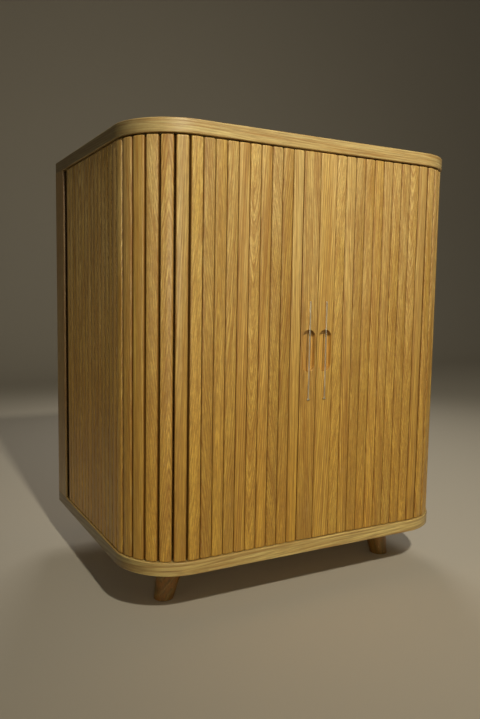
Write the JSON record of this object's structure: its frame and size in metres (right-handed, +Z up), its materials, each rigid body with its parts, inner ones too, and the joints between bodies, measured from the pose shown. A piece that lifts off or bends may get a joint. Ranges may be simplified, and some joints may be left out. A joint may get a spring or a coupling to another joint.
{
  "type": "tambour door cabinet",
  "caption": "Oak cupboard with rounded front corners, sliding slatted tambour doors that run round the sides into the back, shelves inside and splayed tapered feet.",
  "frame": {"origin": "on the floor, under the middle of the cabinet", "axes": "+X to the right as seen from the front, +Y towards the rear, +Z up; the doors are on the -Y side"},
  "size_m": [0.802, 0.5945, 0.9675],
  "materials": {
    "door_oak": "clear matt lacquer",
    "carcass_oak": "clear matt lacquer",
    "inner_oak": "clear matt lacquer",
    "foot_oak": "clear matt lacquer",
    "pull_metal": "satin"
  },
  "bodies": {
    "carcass": {"top_board": "carcass_oak", "bottom_board": "carcass_oak", "left_rear_stile": "carcass_oak", "right_rear_stile": "carcass_oak", "back_panel": "inner_oak", "left_inner_side": "inner_oak", "right_inner_side": "inner_oak", "inner_back": "inner_oak", "lower_shelf": "inner_oak", "lower_left_cleat": "inner_oak", "lower_right_cleat": "inner_oak", "upper_shelf": "inner_oak", "upper_left_cleat": "inner_oak", "upper_right_cleat": "inner_oak", "front_left_foot": "foot_oak", "front_right_foot": "foot_oak", "rear_left_foot": "foot_oak", "rear_right_foot": "foot_oak"},
    "left_lead": {"left_lead_slat": "door_oak", "left_pull": "pull_metal"},
    "left_front_slat_1": {"left_front_slat_1": "door_oak"},
    "left_front_slat_2": {"left_front_slat_2": "door_oak"},
    "left_front_slat_3": {"left_front_slat_3": "door_oak"},
    "left_front_slat_4": {"left_front_slat_4": "door_oak"},
    "left_front_slat_5": {"left_front_slat_5": "door_oak"},
    "left_front_slat_6": {"left_front_slat_6": "door_oak"},
    "left_front_slat_7": {"left_front_slat_7": "door_oak"},
    "left_front_pair": {"left_front_pair": "door_oak"},
    "left_corner_slat_1": {"left_corner_slat_1": "door_oak"},
    "left_corner_slat_2": {"left_corner_slat_2": "door_oak"},
    "left_corner_slat_3": {"left_corner_slat_3": "door_oak"},
    "left_corner_slat_4": {"left_corner_slat_4": "door_oak"},
    "left_corner_slat_5": {"left_corner_slat_5": "door_oak"},
    "left_corner_slat_6": {"left_corner_slat_6": "door_oak"},
    "left_corner_slat_7": {"left_corner_slat_7": "door_oak"},
    "left_side_strip": {"left_side_strip": "door_oak"},
    "left_rear_slat_1": {"left_rear_slat_1": "door_oak"},
    "left_rear_slat_2": {"left_rear_slat_2": "door_oak"},
    "left_tail_strip": {"left_tail_strip": "door_oak"},
    "right_lead": {"right_lead_slat": "door_oak", "right_pull": "pull_metal"},
    "right_front_slat_1": {"right_front_slat_1": "door_oak"},
    "right_front_slat_2": {"right_front_slat_2": "door_oak"},
    "right_front_slat_3": {"right_front_slat_3": "door_oak"},
    "right_front_slat_4": {"right_front_slat_4": "door_oak"},
    "right_front_slat_5": {"right_front_slat_5": "door_oak"},
    "right_front_slat_6": {"right_front_slat_6": "door_oak"},
    "right_front_slat_7": {"right_front_slat_7": "door_oak"},
    "right_front_pair": {"right_front_pair": "door_oak"},
    "right_corner_slat_1": {"right_corner_slat_1": "door_oak"},
    "right_corner_slat_2": {"right_corner_slat_2": "door_oak"},
    "right_corner_slat_3": {"right_corner_slat_3": "door_oak"},
    "right_corner_slat_4": {"right_corner_slat_4": "door_oak"},
    "right_corner_slat_5": {"right_corner_slat_5": "door_oak"},
    "right_corner_slat_6": {"right_corner_slat_6": "door_oak"},
    "right_corner_slat_7": {"right_corner_slat_7": "door_oak"},
    "right_side_strip": {"right_side_strip": "door_oak"},
    "right_rear_slat_1": {"right_rear_slat_1": "door_oak"},
    "right_rear_slat_2": {"right_rear_slat_2": "door_oak"},
    "right_tail_strip": {"right_tail_strip": "door_oak"}
  },
  "joints": [
    {"name": "left_door_slide", "type": "slide", "parent": "carcass", "child": "left_lead", "axis": [-1, 0, 0], "range_m": [0, 0.225]},
    {"name": "left_front_slat_1_turn", "type": "hinge", "parent": "carcass", "child": "left_front_slat_1", "pos_m": [-0.16475, 9.17643, 0.532], "axis": [0, 0, -1], "range_deg": [0, 1.37]},
    {"name": "left_front_slat_2_turn", "type": "hinge", "parent": "carcass", "child": "left_front_slat_2", "pos_m": [-0.17725, 0.57819, 0.532], "axis": [0, 0, -1], "range_deg": [0, 15]},
    {"name": "left_front_slat_3_turn", "type": "hinge", "parent": "carcass", "child": "left_front_slat_3", "pos_m": [-0.18975, 0.16603, 0.532], "axis": [0, 0, -1], "range_deg": [0, 28.64]},
    {"name": "left_front_slat_4_turn", "type": "hinge", "parent": "carcass", "child": "left_front_slat_4", "pos_m": [-0.20225, 0.01887, 0.532], "axis": [0, 0, -1], "range_deg": [0, 42.27]},
    {"name": "left_front_slat_5_turn", "type": "hinge", "parent": "carcass", "child": "left_front_slat_5", "pos_m": [-0.21475, -0.05648, 0.532], "axis": [0, 0, -1], "range_deg": [0, 55.91]},
    {"name": "left_front_slat_6_turn", "type": "hinge", "parent": "carcass", "child": "left_front_slat_6", "pos_m": [-0.22725, -0.10168, 0.532], "axis": [0, 0, -1], "range_deg": [0, 69.55]},
    {"name": "left_front_slat_7_turn", "type": "hinge", "parent": "carcass", "child": "left_front_slat_7", "pos_m": [-0.23975, -0.13105, 0.532], "axis": [0, 0, -1], "range_deg": [0, 83.18]},
    {"name": "left_front_pair_turn", "type": "hinge", "parent": "carcass", "child": "left_front_pair", "pos_m": [-0.246, -0.14189, 0.532], "axis": [0, 0, -1], "range_deg": [0, 90]},
    {"name": "left_corner_slat_1_turn", "type": "hinge", "parent": "carcass", "child": "left_corner_slat_1", "pos_m": [-0.244, -0.14064, 0.532], "axis": [0, 0, -1], "range_deg": [0, 88.64]},
    {"name": "left_corner_slat_2_turn", "type": "hinge", "parent": "carcass", "child": "left_corner_slat_2", "pos_m": [-0.21898, -0.12814, 0.532], "axis": [0, 0, -1], "range_deg": [0, 75]},
    {"name": "left_corner_slat_3_turn", "type": "hinge", "parent": "carcass", "child": "left_corner_slat_3", "pos_m": [-0.1812, -0.11564, 0.532], "axis": [0, 0, -1], "range_deg": [0, 61.37]},
    {"name": "left_corner_slat_4_turn", "type": "hinge", "parent": "carcass", "child": "left_corner_slat_4", "pos_m": [-0.12059, -0.10314, 0.532], "axis": [0, 0, -1], "range_deg": [0, 47.73]},
    {"name": "left_corner_slat_5_turn", "type": "hinge", "parent": "carcass", "child": "left_corner_slat_5", "pos_m": [-0.011, -0.09064, 0.532], "axis": [0, 0, -1], "range_deg": [0, 34.09]},
    {"name": "left_corner_slat_6_turn", "type": "hinge", "parent": "carcass", "child": "left_corner_slat_6", "pos_m": [0.24362, -0.07814, 0.532], "axis": [0, 0, -1], "range_deg": [0, 20.46]},
    {"name": "left_corner_slat_7_turn", "type": "hinge", "parent": "carcass", "child": "left_corner_slat_7", "pos_m": [1.50761, -0.06564, 0.532], "axis": [0, 0, -1], "range_deg": [0, 6.82]},
    {"name": "left_side_strip_slide", "type": "slide", "parent": "carcass", "child": "left_side_strip", "axis": [0, 1, 0], "range_m": [0, 0.225]},
    {"name": "left_rear_slat_1_turn", "type": "hinge", "parent": "left_side_strip", "child": "left_rear_slat_1", "pos_m": [-0.38063, -0.01564, 0.532], "axis": [0, 0, -1], "range_deg": [0, 22.5]},
    {"name": "left_rear_slat_2_turn", "type": "hinge", "parent": "left_side_strip", "child": "left_rear_slat_2", "pos_m": [-0.37727, -0.00314, 0.532], "axis": [0, 0, -1], "range_deg": [0, 67.5]},
    {"name": "left_tail_strip_turn", "type": "hinge", "parent": "left_side_strip", "child": "left_tail_strip", "pos_m": [-0.37421, 0.00311, 0.532], "axis": [0, 0, -1], "range_deg": [0, 90]},
    {"name": "right_door_slide", "type": "slide", "parent": "carcass", "child": "right_lead", "axis": [1, 0, 0], "range_m": [0, 0.225]},
    {"name": "right_front_slat_1_turn", "type": "hinge", "parent": "carcass", "child": "right_front_slat_1", "pos_m": [0.16475, 9.17643, 0.532], "axis": [0, 0, 1], "range_deg": [0, 1.37]},
    {"name": "right_front_slat_2_turn", "type": "hinge", "parent": "carcass", "child": "right_front_slat_2", "pos_m": [0.17725, 0.57819, 0.532], "axis": [0, 0, 1], "range_deg": [0, 15]},
    {"name": "right_front_slat_3_turn", "type": "hinge", "parent": "carcass", "child": "right_front_slat_3", "pos_m": [0.18975, 0.16603, 0.532], "axis": [0, 0, 1], "range_deg": [0, 28.64]},
    {"name": "right_front_slat_4_turn", "type": "hinge", "parent": "carcass", "child": "right_front_slat_4", "pos_m": [0.20225, 0.01887, 0.532], "axis": [0, 0, 1], "range_deg": [0, 42.27]},
    {"name": "right_front_slat_5_turn", "type": "hinge", "parent": "carcass", "child": "right_front_slat_5", "pos_m": [0.21475, -0.05648, 0.532], "axis": [0, 0, 1], "range_deg": [0, 55.91]},
    {"name": "right_front_slat_6_turn", "type": "hinge", "parent": "carcass", "child": "right_front_slat_6", "pos_m": [0.22725, -0.10168, 0.532], "axis": [0, 0, 1], "range_deg": [0, 69.55]},
    {"name": "right_front_slat_7_turn", "type": "hinge", "parent": "carcass", "child": "right_front_slat_7", "pos_m": [0.23975, -0.13105, 0.532], "axis": [0, 0, 1], "range_deg": [0, 83.18]},
    {"name": "right_front_pair_turn", "type": "hinge", "parent": "carcass", "child": "right_front_pair", "pos_m": [0.246, -0.14189, 0.532], "axis": [0, 0, 1], "range_deg": [0, 90]},
    {"name": "right_corner_slat_1_turn", "type": "hinge", "parent": "carcass", "child": "right_corner_slat_1", "pos_m": [0.244, -0.14064, 0.532], "axis": [0, 0, 1], "range_deg": [0, 88.64]},
    {"name": "right_corner_slat_2_turn", "type": "hinge", "parent": "carcass", "child": "right_corner_slat_2", "pos_m": [0.21898, -0.12814, 0.532], "axis": [0, 0, 1], "range_deg": [0, 75]},
    {"name": "right_corner_slat_3_turn", "type": "hinge", "parent": "carcass", "child": "right_corner_slat_3", "pos_m": [0.1812, -0.11564, 0.532], "axis": [0, 0, 1], "range_deg": [0, 61.37]},
    {"name": "right_corner_slat_4_turn", "type": "hinge", "parent": "carcass", "child": "right_corner_slat_4", "pos_m": [0.12059, -0.10314, 0.532], "axis": [0, 0, 1], "range_deg": [0, 47.73]},
    {"name": "right_corner_slat_5_turn", "type": "hinge", "parent": "carcass", "child": "right_corner_slat_5", "pos_m": [0.011, -0.09064, 0.532], "axis": [0, 0, 1], "range_deg": [0, 34.09]},
    {"name": "right_corner_slat_6_turn", "type": "hinge", "parent": "carcass", "child": "right_corner_slat_6", "pos_m": [-0.24362, -0.07814, 0.532], "axis": [0, 0, 1], "range_deg": [0, 20.46]},
    {"name": "right_corner_slat_7_turn", "type": "hinge", "parent": "carcass", "child": "right_corner_slat_7", "pos_m": [-1.50761, -0.06564, 0.532], "axis": [0, 0, 1], "range_deg": [0, 6.82]},
    {"name": "right_side_strip_slide", "type": "slide", "parent": "carcass", "child": "right_side_strip", "axis": [0, 1, 0], "range_m": [0, 0.225]},
    {"name": "right_rear_slat_1_turn", "type": "hinge", "parent": "right_side_strip", "child": "right_rear_slat_1", "pos_m": [0.38063, -0.01564, 0.532], "axis": [0, 0, 1], "range_deg": [0, 22.5]},
    {"name": "right_rear_slat_2_turn", "type": "hinge", "parent": "right_side_strip", "child": "right_rear_slat_2", "pos_m": [0.37727, -0.00314, 0.532], "axis": [0, 0, 1], "range_deg": [0, 67.5]},
    {"name": "right_tail_strip_turn", "type": "hinge", "parent": "right_side_strip", "child": "right_tail_strip", "pos_m": [0.37421, 0.00311, 0.532], "axis": [0, 0, 1], "range_deg": [0, 90]}
  ],
  "couplings": [
    {"joint": "left_front_slat_1_turn", "follows": "left_door_slide", "rad_per_m": 0.10578},
    {"joint": "left_front_slat_2_turn", "follows": "left_door_slide", "rad_per_m": 1.1636},
    {"joint": "left_front_slat_3_turn", "follows": "left_door_slide", "rad_per_m": 2.2213},
    {"joint": "left_front_slat_4_turn", "follows": "left_door_slide", "rad_per_m": 3.2791},
    {"joint": "left_front_slat_5_turn", "follows": "left_door_slide", "rad_per_m": 4.3369},
    {"joint": "left_front_slat_6_turn", "follows": "left_door_slide", "rad_per_m": 5.3947},
    {"joint": "left_front_slat_7_turn", "follows": "left_door_slide", "rad_per_m": 6.4524},
    {"joint": "left_front_pair_turn", "follows": "left_door_slide", "rad_per_m": 6.9813},
    {"joint": "left_corner_slat_1_turn", "follows": "left_door_slide", "rad_per_m": 6.8755},
    {"joint": "left_corner_slat_2_turn", "follows": "left_door_slide", "rad_per_m": 5.8178},
    {"joint": "left_corner_slat_3_turn", "follows": "left_door_slide", "rad_per_m": 4.76},
    {"joint": "left_corner_slat_4_turn", "follows": "left_door_slide", "rad_per_m": 3.7022},
    {"joint": "left_corner_slat_5_turn", "follows": "left_door_slide", "rad_per_m": 2.6444},
    {"joint": "left_corner_slat_6_turn", "follows": "left_door_slide", "rad_per_m": 1.5867},
    {"joint": "left_corner_slat_7_turn", "follows": "left_door_slide", "rad_per_m": 0.52889},
    {"joint": "left_side_strip_slide", "follows": "left_door_slide", "ratio": 1},
    {"joint": "left_rear_slat_1_turn", "follows": "left_door_slide", "rad_per_m": 1.7453},
    {"joint": "left_rear_slat_2_turn", "follows": "left_door_slide", "rad_per_m": 5.236},
    {"joint": "left_tail_strip_turn", "follows": "left_door_slide", "rad_per_m": 6.9813},
    {"joint": "right_front_slat_1_turn", "follows": "right_door_slide", "rad_per_m": 0.10578},
    {"joint": "right_front_slat_2_turn", "follows": "right_door_slide", "rad_per_m": 1.1636},
    {"joint": "right_front_slat_3_turn", "follows": "right_door_slide", "rad_per_m": 2.2213},
    {"joint": "right_front_slat_4_turn", "follows": "right_door_slide", "rad_per_m": 3.2791},
    {"joint": "right_front_slat_5_turn", "follows": "right_door_slide", "rad_per_m": 4.3369},
    {"joint": "right_front_slat_6_turn", "follows": "right_door_slide", "rad_per_m": 5.3947},
    {"joint": "right_front_slat_7_turn", "follows": "right_door_slide", "rad_per_m": 6.4524},
    {"joint": "right_front_pair_turn", "follows": "right_door_slide", "rad_per_m": 6.9813},
    {"joint": "right_corner_slat_1_turn", "follows": "right_door_slide", "rad_per_m": 6.8755},
    {"joint": "right_corner_slat_2_turn", "follows": "right_door_slide", "rad_per_m": 5.8178},
    {"joint": "right_corner_slat_3_turn", "follows": "right_door_slide", "rad_per_m": 4.76},
    {"joint": "right_corner_slat_4_turn", "follows": "right_door_slide", "rad_per_m": 3.7022},
    {"joint": "right_corner_slat_5_turn", "follows": "right_door_slide", "rad_per_m": 2.6444},
    {"joint": "right_corner_slat_6_turn", "follows": "right_door_slide", "rad_per_m": 1.5867},
    {"joint": "right_corner_slat_7_turn", "follows": "right_door_slide", "rad_per_m": 0.52889},
    {"joint": "right_side_strip_slide", "follows": "right_door_slide", "ratio": 1},
    {"joint": "right_rear_slat_1_turn", "follows": "right_door_slide", "rad_per_m": 1.7453},
    {"joint": "right_rear_slat_2_turn", "follows": "right_door_slide", "rad_per_m": 5.236},
    {"joint": "right_tail_strip_turn", "follows": "right_door_slide", "rad_per_m": 6.9813}
  ]
}
